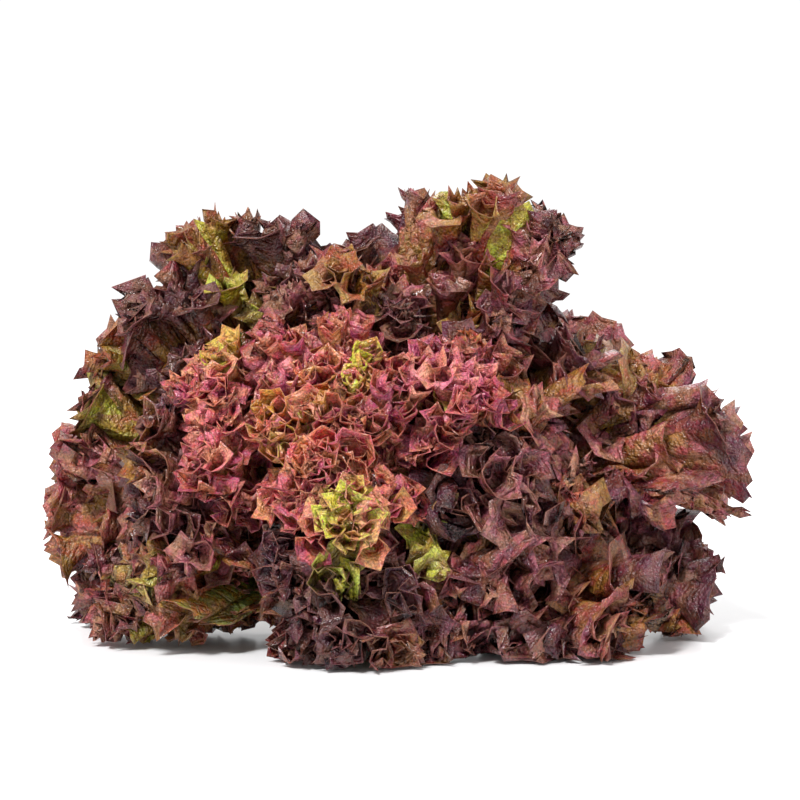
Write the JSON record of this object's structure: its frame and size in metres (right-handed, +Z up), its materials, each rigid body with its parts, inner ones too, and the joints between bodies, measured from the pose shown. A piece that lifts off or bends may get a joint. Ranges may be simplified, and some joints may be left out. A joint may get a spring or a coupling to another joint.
{
  "type": "red leaf lettuce",
  "caption": "Head of frilled red leaf lettuce: ruffled leaves spring from a short cut stem round a small heart, and the head rests on its cut base and its low leaves.",
  "frame": {"origin": "on the surface the head rests on, under the middle of its bounding box", "axes": "+Z up; +X to the right as seen from the front, along the head's greatest width; the crown leans towards -Y"},
  "size_m": [0.2742, 0.2062, 0.1775],
  "materials": {
    "stem": "satin",
    "heart": "satin",
    "leaf": "satin"
  },
  "bodies": {
    "root": {"stem": "stem", "heart": "heart", "leaf_01": "leaf", "leaf_02": "leaf", "leaf_03": "leaf", "leaf_04": "leaf", "leaf_05": "leaf", "leaf_06": "leaf", "leaf_07": "leaf", "leaf_08": "leaf", "leaf_09": "leaf", "leaf_10": "leaf", "leaf_11": "leaf", "leaf_12": "leaf", "leaf_13": "leaf", "leaf_14": "leaf", "leaf_15": "leaf", "leaf_16": "leaf", "leaf_17": "leaf", "leaf_18": "leaf", "leaf_19": "leaf", "leaf_20": "leaf", "leaf_21": "leaf", "leaf_22": "leaf", "leaf_23": "leaf", "leaf_24": "leaf", "leaf_25": "leaf", "leaf_26": "leaf"}
  },
  "joints": []
}
